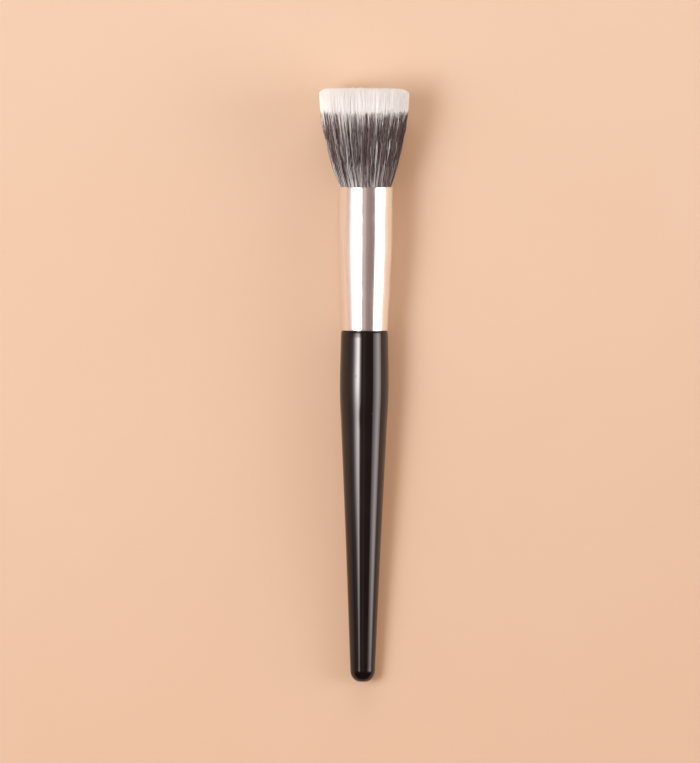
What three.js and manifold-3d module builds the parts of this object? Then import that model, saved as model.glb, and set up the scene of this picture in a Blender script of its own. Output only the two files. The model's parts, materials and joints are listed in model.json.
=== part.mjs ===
// Stippling brush: a flat-topped duo-fibre make-up brush with a lacquered wooden handle and a bright ferrule.
// Millimetres, +Z up. The brush lies on its side, as it does on a table: +Y runs from the butt of the handle
// to the tips of the fibres, and the origin is on the table below the middle of the brush.
// Each piece is made upright, about its own axis, with the butt at height 0. The last section lays the brush
// down.

import * as THREE from "three";
import { mergeVertices } from "three/addons/utils/BufferGeometryUtils.js";
import Module from "manifold-3d";

const wasm = await Module();
wasm.setup();

// Driving dimensions: handle
const HANDLE_LENGTH = 106.5; // butt to shoulder
const BUTT_FLAT_RADIUS = 1.0;
const BUTT_RADIUS = 3.77;
const BUTT_ROUND = 3.6; // height of the rounding at the butt
const TAPER_HOLLOW = 0.08; // how far the taper is turned in at its middle
const KNEE_RADIUS = 6.87;
const KNEE_DROP = 30; // below the shoulder
const BELLY_RADIUS = 7.39;
const BELLY_DROP = 18.3; // below the shoulder
const SHOULDER_STEP = 0.02; // how far the shoulder's radius falls short of the ferrule's base
const SHOULDER_BEVEL = 2.4;
const SHOULDER_TURN_IN = 0.3;
const TENON_LENGTH = 14;
const TENON_CHAMFER = 0.8;
const GROOVE_COUNT = 3; // glue grooves round the tenon
const GROOVE_DEPTH = 0.5;
const GROOVE_WIDTH = 1.2;

// Driving dimensions: ferrule
const FERRULE_LENGTH = 43.6;
const FERRULE_WALL = 0.5;
const FERRULE_MOUTH_RADIUS = 8.44;
const FERRULE_BASE_RADIUS = 7.2;
const FERRULE_STRAIGHT = 18; // parallel stretch below the mouth
const RIM_ROUND = 0.2;

// Driving dimensions: tuft
const TUFT_LENGTH = 29.9; // mouth of the ferrule to the white tips
const WHITE_BAND = 7.6; // white tips beyond the dark ones, where the white fibres stand nearly upright
const TIP_RADIUS = 13.7;
const TIP_FLARE = 0.4; // how much the tuft still widens along the white band
const TIP_CROWN = 1.0; // how much the middle of the flat top stands above its edge
const TIP_SCATTER = 0.9; // spread of the tip heights
const ROOT_DEPTH = 14; // mouth of the ferrule to the root ends
const MOUTH_CLEARANCE = 0.3; // fibres to the ferrule's bore at its mouth
const KNOT_LENGTH = 4.2; // tied root bundle
const DARK_ROOT_PLATE = 1.6;
const WHITE_ROOT_RIM = 0.6;
const DARK_ROWS = 10; // rows of dark strands, each between two rows of white ones
const ROW_INSET = 0.75; // outermost row to the tuft's outline
const STRAND_SPACING = 0.62; // along a row, at the roots
const STRAND_HALF_WIDTH = 0.2; // at the roots
const TABLE_PRESS = 0.2; // how far the lowest strands give where they rest on the table

// Driving dimensions: what is hidden in the ferrule
const PLUG_LENGTH = 5;
const PLUG_MENISCUS = 1.0;
const THREAD_DIAMETER = 0.5;
const THREAD_PITCH = 0.95;
const THREAD_TURNS = 3;
const THREAD_CLEARANCE = 0.57; // thread to the ferrule's bore
const GLUE_SPACE = 0.6; // tenon to the ferrule's bore at its narrow end
const ADHESIVE_SETBACK = 1.2; // from the shoulder and from the tenon's end

// Clearances and facets
const FIT_GAP = 0.15; // between pieces that are bonded or seated
const TURNED_SIDES = 40;
const TAPER_STEPS = 13;
const ROUND_STEPS = 5; // for each quarter round
const THREAD_STEPS = 24; // for each turn
const THREAD_SIDES = 6;
const MERGE_DISTANCE = 1e-4;

// Heights and radii that several pieces share
const FERRULE_BASE = HANDLE_LENGTH + FIT_GAP;
const MOUTH = HANDLE_LENGTH + FERRULE_LENGTH;
const TENON_TOP = HANDLE_LENGTH + TENON_LENGTH;
const ROOT = MOUTH - ROOT_DEPTH;
const KNOT_TOP = ROOT + KNOT_LENGTH;
const TUFT_TOP = MOUTH + TUFT_LENGTH;
const DARK_TOP = TUFT_TOP - WHITE_BAND;
const SHOULDER_RADIUS = FERRULE_BASE_RADIUS - SHOULDER_STEP;
const TENON_RADIUS = FERRULE_BASE_RADIUS - FERRULE_WALL - GLUE_SPACE;
const KNOT_RADIUS = boreRadius(ROOT) - THREAD_CLEARANCE - THREAD_DIAMETER - FIT_GAP;
const ROW_COUNT = 2 * DARK_ROWS + 1;

const MATERIALS = {
  lacquer: new THREE.MeshStandardMaterial({ color: "#0b0908", roughness: 0.12, metalness: 0 }),
  bright: new THREE.MeshStandardMaterial({ color: "#d8d4cf", roughness: 0.16, metalness: 1 }),
  dark: new THREE.MeshStandardMaterial({ color: "#2b2423", roughness: 0.5, metalness: 0 }),
  white: new THREE.MeshStandardMaterial({ color: "#f2e9e2", roughness: 0.6, metalness: 0 }),
  resin: new THREE.MeshStandardMaterial({ color: "#c9a15a", roughness: 0.35, metalness: 0 }),
  cotton: new THREE.MeshStandardMaterial({ color: "#d9cfb8", roughness: 0.9, metalness: 0 }),
  glue: new THREE.MeshStandardMaterial({ color: "#e6dcc0", roughness: 0.5, metalness: 0 }),
};

// A solid turned about Z from [radius, height] points, which start and end on the axis or close on
// themselves. A flat side of it faces straight down when the brush lies on the table.
function turned(profile) {
  const points = profile.map(([radius, height]) => new THREE.Vector2(radius, height));
  return new THREE.LatheGeometry(points, TURNED_SIDES, Math.PI / TURNED_SIDES).rotateX(Math.PI / 2);
}

// A quarter ellipse from one point to another, leaving square to the axis or along it.
function quarterRound([r0, z0], [r1, z1], leavesAcross) {
  return Array.from({ length: ROUND_STEPS + 1 }, (_, i) => {
    const turn = (i / ROUND_STEPS) * (Math.PI / 2);
    const [out, up] = leavesAcross
      ? [Math.sin(turn), 1 - Math.cos(turn)]
      : [1 - Math.cos(turn), Math.sin(turn)];
    return [r0 + (r1 - r0) * out, z0 + (z1 - z0) * up];
  });
}

function solidOf(geometry) {
  const bare = new THREE.BufferGeometry().setAttribute("position", geometry.getAttribute("position"));
  bare.setIndex(geometry.index);
  const merged = mergeVertices(bare, MERGE_DISTANCE);
  const mesh = new wasm.Mesh({
    numProp: 3,
    vertProperties: merged.getAttribute("position").array,
    triVerts: new Uint32Array(merged.index.array),
  });
  return new wasm.Manifold(mesh);
}

function geometryOf(solid) {
  const mesh = solid.getMesh();
  return new THREE.BufferGeometry()
    .setAttribute("position", new THREE.BufferAttribute(mesh.vertProperties, 3))
    .setIndex(new THREE.BufferAttribute(mesh.triVerts, 1));
}

// Handle: a rounded butt, a slightly hollow taper, a belly below the shoulder, and a grooved tenon.
function handleOutline() {
  const knee = HANDLE_LENGTH - KNEE_DROP;
  const shoulder = HANDLE_LENGTH - SHOULDER_BEVEL;
  const stations = [
    [BUTT_RADIUS, BUTT_ROUND],
    [(BUTT_RADIUS + KNEE_RADIUS) / 2 - TAPER_HOLLOW, (BUTT_ROUND + knee) / 2],
    [KNEE_RADIUS, knee],
    [BELLY_RADIUS, HANDLE_LENGTH - BELLY_DROP],
    [SHOULDER_RADIUS, shoulder],
  ];
  const path = stations.map(([radius, height]) => new THREE.Vector3(radius, height, 0));
  const side = new THREE.CatmullRomCurve3(path, false, "centripetal").getPoints(TAPER_STEPS);
  const butt = quarterRound([BUTT_FLAT_RADIUS, 0], [BUTT_RADIUS, BUTT_ROUND], true);
  const bevel = quarterRound(
    [SHOULDER_RADIUS, shoulder],
    [SHOULDER_RADIUS - SHOULDER_TURN_IN, HANDLE_LENGTH],
    false,
  );
  return [...butt, ...side.slice(1, -1).map((p) => [p.x, p.y]), ...bevel];
}

// The tenon's side from the shoulder up, standing off by a gap: the adhesive round it follows the same
// grooves.
function tenonSide(gap = 0) {
  const spacing = TENON_LENGTH / (GROOVE_COUNT + 1);
  const half = GROOVE_WIDTH / 2 - gap;
  const outer = TENON_RADIUS + gap;
  return Array.from({ length: GROOVE_COUNT }, (_, i) => {
    const middle = HANDLE_LENGTH + spacing * (i + 1);
    return [
      [outer, middle - half],
      [outer - GROOVE_DEPTH, middle - half],
      [outer - GROOVE_DEPTH, middle + half],
      [outer, middle + half],
    ];
  }).flat();
}

function handle() {
  return turned([
    [0, 0],
    ...handleOutline(),
    [TENON_RADIUS, HANDLE_LENGTH],
    ...tenonSide(),
    [TENON_RADIUS, TENON_TOP - TENON_CHAMFER],
    [TENON_RADIUS - TENON_CHAMFER, TENON_TOP],
    [0, TENON_TOP],
  ]);
}

// Ferrule: a drawn tube, straight below its mouth and tapering to the handle. The bore follows at the wall's
// depth.
function ferruleRadius(height) {
  const neck = MOUTH - FERRULE_STRAIGHT;
  const share = THREE.MathUtils.clamp((height - FERRULE_BASE) / (neck - FERRULE_BASE), 0, 1);
  return THREE.MathUtils.lerp(FERRULE_BASE_RADIUS, FERRULE_MOUTH_RADIUS, share);
}

function boreRadius(height) {
  return ferruleRadius(height) - FERRULE_WALL;
}

function ferrule() {
  const neck = MOUTH - FERRULE_STRAIGHT;
  const outside = (height, inset = 0) => [ferruleRadius(height) - inset, height];
  const inside = (height, inset = 0) => [boreRadius(height) + inset, height];
  const corners = [
    inside(FERRULE_BASE, RIM_ROUND),
    outside(FERRULE_BASE, RIM_ROUND),
    outside(FERRULE_BASE + RIM_ROUND),
    outside(neck),
    outside(MOUTH - RIM_ROUND),
    outside(MOUTH, RIM_ROUND),
    inside(MOUTH, RIM_ROUND / 2),
    inside(MOUTH - RIM_ROUND),
    inside(neck),
    inside(FERRULE_BASE + RIM_ROUND),
  ];
  return turned([...corners, corners[0]]);
}

// Cured adhesive between the tenon and the ferrule's bore, keyed into the grooves.
function tenonAdhesive() {
  const low = HANDLE_LENGTH + ADHESIVE_SETBACK;
  const high = TENON_TOP - ADHESIVE_SETBACK;
  const inner = TENON_RADIUS + FIT_GAP;
  const corners = [
    [inner, low],
    [boreRadius(low) - FIT_GAP, low],
    [boreRadius(high) - FIT_GAP, high],
    [inner, high],
    ...tenonSide(FIT_GAP).reverse(),
  ];
  return turned([...corners, corners[0]]);
}

// Resin poured into the ferrule behind the roots, hollowed below as it set.
function resinPlug() {
  const top = ROOT - FIT_GAP;
  const low = top - PLUG_LENGTH;
  const side = (height) => boreRadius(height) - FIT_GAP;
  return turned([
    ...quarterRound([0, low + PLUG_MENISCUS], [side(low), low], true),
    [side(top), top],
    [0, top],
  ]);
}

// Thread that ties the roots: a helix on the root bundle, with a straight end of one thread diameter each
// way.
function threadPath() {
  const radius = KNOT_RADIUS + FIT_GAP + THREAD_DIAMETER / 2;
  const rise = THREAD_PITCH * THREAD_TURNS;
  const start = ROOT + (KNOT_LENGTH - rise) / 2;
  const count = THREAD_STEPS * THREAD_TURNS;
  const points = Array.from({ length: count + 1 }, (_, i) => {
    const turn = (2 * Math.PI * i) / THREAD_STEPS;
    return new THREE.Vector3(radius * Math.cos(turn), radius * Math.sin(turn), start + (rise * i) / count);
  });
  const straight = new THREE.Vector3(0, THREAD_DIAMETER, 0);
  return [points[0].clone().sub(straight), ...points, points[count].clone().add(straight)];
}

// The least open space between turns of a tube, from points on its middle line.
function leastGap(points, turnSteps, diameter) {
  let least = Infinity;
  points.forEach((a, i) =>
    points.slice(i + turnSteps / 2).forEach((b) => {
      least = Math.min(least, a.distanceTo(b));
    }),
  );
  return least - diameter;
}

// A closed tube along points that wind about Z. Its rings stand on the outward and upward directions.
function woundTube(points, radius, sides) {
  const position = [];
  const index = [];
  points.forEach((p) => {
    const outward = new THREE.Vector3(p.x, p.y, 0).normalize();
    for (let k = 0; k < sides; k++) {
      const turn = (2 * Math.PI * k) / sides;
      const ring = p.clone().addScaledVector(outward, radius * Math.cos(turn));
      position.push(ring.x, ring.y, ring.z + radius * Math.sin(turn));
    }
  });
  for (let i = 0; i + 1 < points.length; i++) {
    for (let k = 0; k < sides; k++) {
      const [a, b] = [i * sides + k, i * sides + ((k + 1) % sides)];
      index.push(a, a + sides, b, b, a + sides, b + sides);
    }
  }
  const last = (points.length - 1) * sides;
  for (let k = 1; k + 1 < sides; k++) {
    index.push(0, k, k + 1);
    index.push(last, last + k + 1, last + k);
  }
  return new THREE.BufferGeometry()
    .setAttribute("position", new THREE.Float32BufferAttribute(position, 3))
    .setIndex(index);
}

function bindingThread() {
  const path = threadPath();
  const gap = leastGap(path, THREAD_STEPS, THREAD_DIAMETER);
  console.log(`binding thread: least gap to itself ${gap.toFixed(2)} mm`);
  return woundTube(path, THREAD_DIAMETER / 2, THREAD_SIDES);
}

// Tuft: rows of strands lie level across it, dark and white by turns. A strand keeps its row's share of the
// tuft's radius and its own share of the row's length at each height, so the strands fan out and never cross.
const TUFT_OUTLINE = [
  [ROOT, KNOT_RADIUS],
  [KNOT_TOP, KNOT_RADIUS],
  [MOUTH, boreRadius(MOUTH) - MOUTH_CLEARANCE],
  [DARK_TOP, TIP_RADIUS - TIP_FLARE],
  [TUFT_TOP, TIP_RADIUS],
];

function tuftRadius(height) {
  const above = TUFT_OUTLINE.findIndex(([z], i) => i > 0 && height <= z);
  const [[z0, r0], [z1, r1]] = TUFT_OUTLINE.slice(above - 1, above + 1);
  return THREE.MathUtils.mapLinear(height, z0, z1, r0, r1);
}

function rowShare(row) {
  const middle = (ROW_COUNT - 1) / 2;
  return (row - middle) / middle;
}

function rowOffset(row, height) {
  return rowShare(row) * (tuftRadius(height) - ROW_INSET);
}

function chord(radius, offset) {
  return Math.sqrt(radius ** 2 - offset ** 2);
}

// The bars that hold the rows at the roots: dark bars stand inside the white fibres' rim, white bars end in
// it.
const BAR_HALF_WIDTH = (rowOffset(1, ROOT) - rowOffset(0, ROOT) - FIT_GAP) / 2;

function barReach(kind, row) {
  return chord(kind.rootRadius, Math.abs(rowOffset(row, ROOT)) + BAR_HALF_WIDTH);
}

// A steady scatter from 0 to 1 for strand number n: the fractional part of n times the golden ratio.
function scatter(n) {
  const turns = n * ((1 + Math.sqrt(5)) / 2);
  return turns - Math.floor(turns);
}

// Each kind of fibre: its rows, the circle that its bars reach, and the sections of a strand above the roots,
// whose half widths are multiples of that at the root.
const WHITE = {
  firstRow: 0,
  rootRadius: KNOT_RADIUS - WHITE_ROOT_RIM / 2,
  bends: [MOUTH, DARK_TOP],
  tip: (share) => TUFT_TOP - TIP_CROWN * share ** 2,
  widths: [1, 1.3, 2.4, 2.1],
};
const DARK = {
  firstRow: 1,
  rootRadius: KNOT_RADIUS - WHITE_ROOT_RIM - FIT_GAP,
  bends: [MOUTH],
  tip: () => DARK_TOP,
  widths: [1, 1.3, 2.2],
};

function rowsOf(kind) {
  const count = Math.ceil((ROW_COUNT - kind.firstRow) / 2);
  return Array.from({ length: count }, (_, i) => kind.firstRow + 2 * i);
}

// The brush lies on the butt of its handle and on the lowest tips of its tuft, whose flat sides face the
// table. Its axis rises towards the tuft by the least angle at which the whole handle clears the table.
const FLAT_SIDE = Math.PI / 6; // turn of a strand's first corner, which puts a flat side below
const TIP_DEPTH = STRAND_HALF_WIDTH * WHITE.widths.at(-1) * Math.sin(FLAT_SIDE);
const REST_DEPTH = rowOffset(ROW_COUNT - 1, TUFT_TOP) + TIP_DEPTH - TABLE_PRESS;
const REST_TILT = Math.min(
  ...handleOutline().map(([radius, height]) => Math.atan2(REST_DEPTH - radius, TUFT_TOP - height)),
);

// The table's depth below the brush's axis at a height.
function tableDepth(height) {
  return REST_DEPTH - (TUFT_TOP - height) * Math.tan(REST_TILT);
}

// One strand: a three-sided bar, flat below, from inside its root bar through the ferrule's mouth to its tip.
function addStrand(arrays, kind, row, along, number) {
  const share = Math.hypot(rowShare(row), along * chord(1, rowShare(row)));
  const tip = kind.tip(share) - TIP_SCATTER * scatter(number);
  const heights = [ROOT + KNOT_LENGTH - BAR_HALF_WIDTH, ...kind.bends, tip];
  const first = arrays.position.length / 3;
  heights.forEach((height, i) => {
    const half = STRAND_HALF_WIDTH * kind.widths[i];
    const offset = rowOffset(row, height);
    const reach = i === 0 ? barReach(kind, row) - half : chord(tuftRadius(height) - half, offset);
    for (let k = 0; k < 3; k++) {
      const turn = FLAT_SIDE + (2 * Math.PI * k) / 3;
      const across = along * reach + half * Math.cos(turn);
      const depth = offset + half * Math.sin(turn);
      arrays.position.push(across, Math.min(depth, tableDepth(height)), height);
    }
  });
  for (let i = 0; i + 1 < heights.length; i++) {
    for (let k = 0; k < 3; k++) {
      const [a, b] = [first + 3 * i + k, first + 3 * i + ((k + 1) % 3)];
      arrays.index.push(a, b, a + 3, b, b + 3, a + 3);
    }
  }
  const last = first + 3 * (heights.length - 1);
  arrays.index.push(first, first + 2, first + 1, last, last + 1, last + 2);
}

function strandsOf(kind) {
  const arrays = { position: [], index: [] };
  rowsOf(kind).forEach((row) => {
    const gaps = Math.max(1, Math.floor((2 * barReach(kind, row)) / STRAND_SPACING));
    for (let n = 0; n <= gaps; n++) addStrand(arrays, kind, row, (2 * n) / gaps - 1, n + row * ROW_COUNT);
  });
  return new THREE.BufferGeometry()
    .setAttribute("position", new THREE.Float32BufferAttribute(arrays.position, 3))
    .setIndex(arrays.index);
}

function rootBar(kind, row, low) {
  const length = KNOT_TOP - low;
  const bar = new THREE.BoxGeometry(2 * barReach(kind, row), 2 * BAR_HALF_WIDTH, length);
  return bar.translate(0, rowOffset(row, ROOT), low + length / 2);
}

// The strands of one kind fused to their slice of the root bundle: bars on a base.
function fibres(kind, base, barLow) {
  const bars = rowsOf(kind).map((row) => solidOf(rootBar(kind, row, barLow)));
  const slice = bars.reduce((joined, bar) => joined.add(bar), solidOf(base));
  return geometryOf(slice.add(solidOf(strandsOf(kind))));
}

// Dark fibres: bars on a round plate.
function darkFibres() {
  const plateTop = ROOT + DARK_ROOT_PLATE;
  const plate = turned([
    [0, ROOT],
    [KNOT_RADIUS, ROOT],
    [KNOT_RADIUS, plateTop],
    [0, plateTop],
  ]);
  return fibres(DARK, plate, (ROOT + plateTop) / 2);
}

// White fibres: bars between the dark ones, ending in a rim that sits on the dark fibres' plate.
function whiteFibres() {
  const low = ROOT + DARK_ROOT_PLATE + FIT_GAP;
  const inner = KNOT_RADIUS - WHITE_ROOT_RIM;
  const corners = [
    [inner, low],
    [KNOT_RADIUS, low],
    [KNOT_RADIUS, KNOT_TOP],
    [inner, KNOT_TOP],
  ];
  return fibres(WHITE, turned([...corners, corners[0]]), low);
}

function named(name, geometry, material) {
  const mesh = new THREE.Mesh(geometry, material);
  mesh.name = name;
  return mesh;
}

const brush = new THREE.Group();
brush.add(
  named("handle", handle(), MATERIALS.lacquer),
  named("tenon_adhesive", tenonAdhesive(), MATERIALS.glue),
  named("ferrule", ferrule(), MATERIALS.bright),
  named("resin_plug", resinPlug(), MATERIALS.resin),
  named("binding_thread", bindingThread(), MATERIALS.cotton),
  named("dark_fibres", darkFibres(), MATERIALS.dark),
  named("white_fibres", whiteFibres(), MATERIALS.white),
);

// Laid down: the upright axis turns to +Y, rising by the rest tilt, and the middle of the box's length is at
// the origin.
brush.rotation.x = REST_TILT - Math.PI / 2;
const part = new THREE.Group();
part.add(brush);
const box = new THREE.Box3().setFromObject(part, true);
brush.position.set(0, -(box.min.y + box.max.y) / 2, -box.min.z);

export default part;
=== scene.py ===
"""Looks of a stippling brush, built around its packed CAD frame.

Lengths are in metres. Shapes are worked out in the brush's own frame and then placed: across runs to the
right, down runs square to the axis towards the table, and along runs on the axis from the butt to the tips.
"""

import json
import math
from types import SimpleNamespace

import bpy
import numpy as np
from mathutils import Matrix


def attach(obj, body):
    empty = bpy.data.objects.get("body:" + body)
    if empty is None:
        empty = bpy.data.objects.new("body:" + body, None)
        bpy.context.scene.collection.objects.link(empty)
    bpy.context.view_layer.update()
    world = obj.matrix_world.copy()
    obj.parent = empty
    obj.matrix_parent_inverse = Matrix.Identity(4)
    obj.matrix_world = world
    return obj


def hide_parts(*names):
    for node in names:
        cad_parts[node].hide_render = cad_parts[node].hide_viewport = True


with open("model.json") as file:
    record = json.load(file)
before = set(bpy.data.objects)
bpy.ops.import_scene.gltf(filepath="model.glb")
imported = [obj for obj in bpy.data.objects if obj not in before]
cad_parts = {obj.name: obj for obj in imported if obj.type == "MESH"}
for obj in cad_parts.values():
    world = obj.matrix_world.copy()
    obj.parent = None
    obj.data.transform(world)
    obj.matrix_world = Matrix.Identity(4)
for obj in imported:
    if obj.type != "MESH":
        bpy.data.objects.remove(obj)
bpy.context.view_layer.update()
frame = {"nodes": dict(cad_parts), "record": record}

bl_info = {
    "name": "Stippling brush",
    "version": (1, 0, 0),
    "blender": (4, 5, 0),
    "location": "3D View > Sidebar > Stippling brush",
    "description": "Handle, ferrule and duo-fibre tuft of a stippling brush, with their finishes and a stage",
    "category": "Mesh",
}

# The brush's own frame, from the flat of the butt in the packed record
BUTT_MOUNT = frame["record"]["mounts"][0]
BUTT = np.array(BUTT_MOUNT["pos_m"])
ALONG = -np.array(BUTT_MOUNT["axis"])
TILT = math.atan2(ALONG[2], ALONG[1])
ACROSS = np.array((1.0, 0.0, 0.0))
DOWN = np.array((0.0, ALONG[2], -ALONG[1]))

BODY = "root"
BAKE_MAP = "OFBake"
MM = 0.001
FULL_TURN = 2.0 * math.pi
GOLDEN_TURN = math.pi * (3.0 - math.sqrt(5.0))


def node_span(name):
    """Where a packed node starts and ends along the axis, and how far it reaches from the axis."""
    vertices = frame["nodes"][name].data.vertices
    points = np.empty(3 * len(vertices), np.float32)
    vertices.foreach_get("co", points)
    offset = points.reshape(-1, 3) - BUTT
    along = offset @ ALONG
    away = np.hypot(offset @ ACROSS, offset @ DOWN)
    return float(along.min()), float(along.max()), float(away.max())


FERRULE_BASE, MOUTH, MOUTH_RADIUS = node_span("ferrule")
ROOT = node_span("dark_fibres")[0]
THREAD_LOW, THREAD_HIGH, THREAD_REACH = node_span("binding_thread")


# Settings


def length(name, description, default):
    """A length that a user may change."""
    return bpy.props.FloatProperty(
        name=name, description=description, default=default, min=0.0, precision=5, unit="LENGTH"
    )


def plain_number(name, description, default, highest):
    """A plain number from zero up that a user may change."""
    return bpy.props.FloatProperty(
        name=name, description=description, default=default, min=0.0, max=highest, subtype="FACTOR"
    )


def count(name, description, default):
    """A whole number that a user may change."""
    return bpy.props.IntProperty(name=name, description=description, default=default, min=1)


def colour(name, description, default):
    """A linear colour that a user may change."""
    return bpy.props.FloatVectorProperty(
        name=name, description=description, default=default, size=3, min=0.0, max=1.0, subtype="COLOR"
    )


class HandleSizes(bpy.types.PropertyGroup):
    """Sizes of the turned handle"""

    length: length("Length", "Butt to shoulder", 0.1065)
    butt_flat: length("Butt flat", "Radius of the flat at the butt", 0.001)
    butt_radius: length("Butt radius", "Radius where the rounding of the butt ends", 0.00377)
    butt_round: length("Butt rounding", "Height of the rounding at the butt", 0.0036)
    hollow: length("Hollow", "How far the taper is turned in at its middle", 0.00008)
    knee_radius: length("Knee radius", "Radius where the taper meets the belly", 0.00687)
    knee_drop: length("Knee drop", "Knee below the shoulder", 0.030)
    belly_radius: length("Belly radius", "Largest radius", 0.00739)
    belly_drop: length("Belly drop", "Belly below the shoulder", 0.0183)
    shoulder_radius: length("Shoulder radius", "Radius below the shoulder's rounding", 0.00718)
    shoulder_round: length("Shoulder rounding", "Height of the rounding at the shoulder", 0.0024)
    shoulder_turn_in: length("Shoulder turn-in", "How far that rounding turns in", 0.0003)
    tenon_radius: length("Tenon radius", "Radius of the tenon in the ferrule", 0.0061)
    tenon_length: length("Tenon length", "Shoulder to the tenon's end", 0.014)


class FerruleSizes(bpy.types.PropertyGroup):
    """Sizes of the drawn ferrule"""

    base_radius: length("Base radius", "Outside radius at the handle", 0.0072)
    mouth_radius: length("Mouth radius", "Outside radius at the mouth", round(MOUTH_RADIUS, 5))
    straight: length("Straight", "Parallel stretch below the mouth", 0.018)
    wall: length("Wall", "Thickness of the metal", 0.0005)
    rim_round: length("Rim rounding", "Rounding of the two rims", 0.00018)


class TuftSizes(bpy.types.PropertyGroup):
    """Sizes and make-up of the tuft"""

    height: length("Height", "Mouth of the ferrule to the white tips", 0.0295)
    dark_height: length("Dark height", "Mouth of the ferrule to the dark tips", 0.0220)
    tip_radius: length("Tip radius", "Radius of the tuft at the tips", 0.01365)
    root_radius: length("Root radius", "Radius of the tied roots", 0.0067)
    lean: length("Lean", "How far the tips lie to the left of the axis", 0.0005)
    strands: count("Strands", "Fibres of both kinds together", 26000)
    locks: count("Locks", "Groups in which the fibres lie together", 5600)
    tresses: count("Tresses", "Groups of locks that are darker or lighter together", 60)
    thickness: length("Thickness", "Radius of a fibre", 0.000062)
    seed: count("Seed", "Start of the scatter", 7)


class BrushFinishes(bpy.types.PropertyGroup):
    """Colours of the finishes"""

    lacquer: colour("Lacquer", "Black lacquer", (0.0030, 0.0006, 0.0006))
    lacquer_worn: colour("Lacquer haze", "Lacquer where it is dusty or rubbed", (0.010, 0.0080, 0.0070))
    metal: colour("Metal", "Bright metal", (0.93, 0.915, 0.90))
    metal_dull: colour("Dull metal", "Metal along its draw marks", (0.80, 0.775, 0.75))
    dark_deep: colour("Deep fibre", "Darkest of the dark fibres", (0.0135, 0.0088, 0.0086))
    dark_pale: colour("Pale dark fibre", "Lightest of the dark fibres", (0.205, 0.150, 0.146))
    white_deep: colour("Cream fibre", "Darkest of the white fibres", (0.852, 0.871, 0.868))
    white_pale: colour("White fibre", "Lightest of the white fibres", (0.883, 0.901, 0.898))
    thread: colour("Thread", "Cotton thread", (0.70, 0.63, 0.48))
    # A darker cotton colour, which slow noise mixes into the thread here and there; it doesn't follow the
    # plies
    thread_dark: colour("Dark thread", "Cotton thread between its plies", (0.46, 0.39, 0.27))
    resin: colour("Resin", "Amber resin", (0.58, 0.36, 0.10))
    resin_dark: colour("Dark resin", "Resin where it set thick", (0.34, 0.17, 0.035))
    glue: colour("Glue", "Cream adhesive", (0.79, 0.72, 0.53))
    glue_aged: colour("Aged glue", "Adhesive where it has yellowed", (0.66, 0.53, 0.30))


class StageSettings(bpy.types.PropertyGroup):
    """Floor, light and camera"""

    floor: colour("Floor", "Plain pale floor beyond the tips", (0.602, 0.462, 0.344))
    # Painted shade: the floor's colour is darker towards the butt, where the light falls off
    floor_near_painted_dim: colour("Near floor", "Plain pale floor below the butt", (0.574, 0.422, 0.303))
    floor_mottle: colour("Floor mottling", "What multiplies the floor's colour in spots", (0.98, 0.97, 0.96))
    # Painted warm light: where the floor is seen, its colour is multiplied down and it glows faintly, which
    # paints its shadows warm
    floor_seen: colour("Seen floor", "What multiplies it where the floor is seen", (0.80, 0.915, 1.0))
    floor_painted_glow: colour("Painted floor glow", "Warm light it gives back where it is seen", (0.18, 0.051, 0.0))
    horizon: colour("Horizon", "World near the floor, and the floor far from the brush", (0.90, 0.59, 0.418))
    ceiling: colour("Ceiling", "World overhead, at the brightest of its strips", (0.645, 0.482, 0.425))
    near_end: colour("Near end", "World beyond the butt", (0.14, 0.115, 0.105))
    far_end: colour("Far end", "World beyond the tips", (0.36, 0.31, 0.285))
    lamp_colour: colour("Lamp colour", "Colour of both lamps", (1.0, 0.91, 0.90))
    left_lamp: plain_number("Left lamp", "Brightness of the left lamp where it is brightest", 19.2, 100.0)
    right_lamp: plain_number("Right lamp", "Brightness of the right lamp where it is brightest", 6.0, 100.0)
    fill_lamp: plain_number("Fill lamp", "Brightness of the lamp beyond the tips", 3.4, 100.0)
    fill_colour: colour("Fill colour", "Colour of that lamp", (1.0, 0.85, 0.74))
    lamp_distance: length("Lamp distance", "Brush to lamps", 0.9)
    camera_height: length("Camera height", "Floor to camera", 1.8)
    lens: plain_number("Lens", "Focal length in millimetres", 279.35, 400.0)


# Meshes


def place(across, down, along):
    """Points of the brush's own frame in the row frame: the butt plus each distance on its own direction."""
    across, down, along = np.broadcast_arrays(across, down, along)
    return BUTT + across[..., None] * ACROSS + down[..., None] * DOWN + along[..., None] * ALONG


def grid_faces(rows, columns, close_rows, close_columns):
    """Quads between neighbours on a grid numbered row by row, with either direction closed on itself."""
    row = np.arange(rows if close_rows else rows - 1)[:, None]
    column = np.arange(columns if close_columns else columns - 1)[None, :]
    next_row = (row + 1) % rows
    next_column = (column + 1) % columns
    corners = np.broadcast_arrays(
        row * columns + column,
        row * columns + next_column,
        next_row * columns + next_column,
        next_row * columns + column,
    )
    return np.stack(corners, -1).reshape(-1, 4)


def revolve(outline, sides, poles):
    """Surface of revolution: each (radius, along) point of the outline goes round the axis in equal turns.
    With poles, both ends close in a fan on the axis. Without, the outline is a loop that closes on itself."""
    turn = np.linspace(0.0, FULL_TURN, sides, endpoint=False)
    radius = outline[:, 0, None]
    points = place(radius * np.cos(turn), radius * np.sin(turn), outline[:, 1, None]).reshape(-1, 3)
    faces = grid_faces(len(outline), sides, not poles, True)
    if not poles:
        return points, [faces]
    ring = np.arange(sides)
    after = (ring + 1) % sides
    last = len(points) - sides
    low_pole = len(points)
    low_fan = np.stack((np.full(sides, low_pole), after, ring), 1)
    high_fan = np.stack((np.full(sides, low_pole + 1), last + ring, last + after), 1)
    ends = place(0.0, 0.0, outline[[0, -1], 1])
    return np.vstack((points, ends)), [faces, np.vstack((low_fan, high_fan))]


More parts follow.
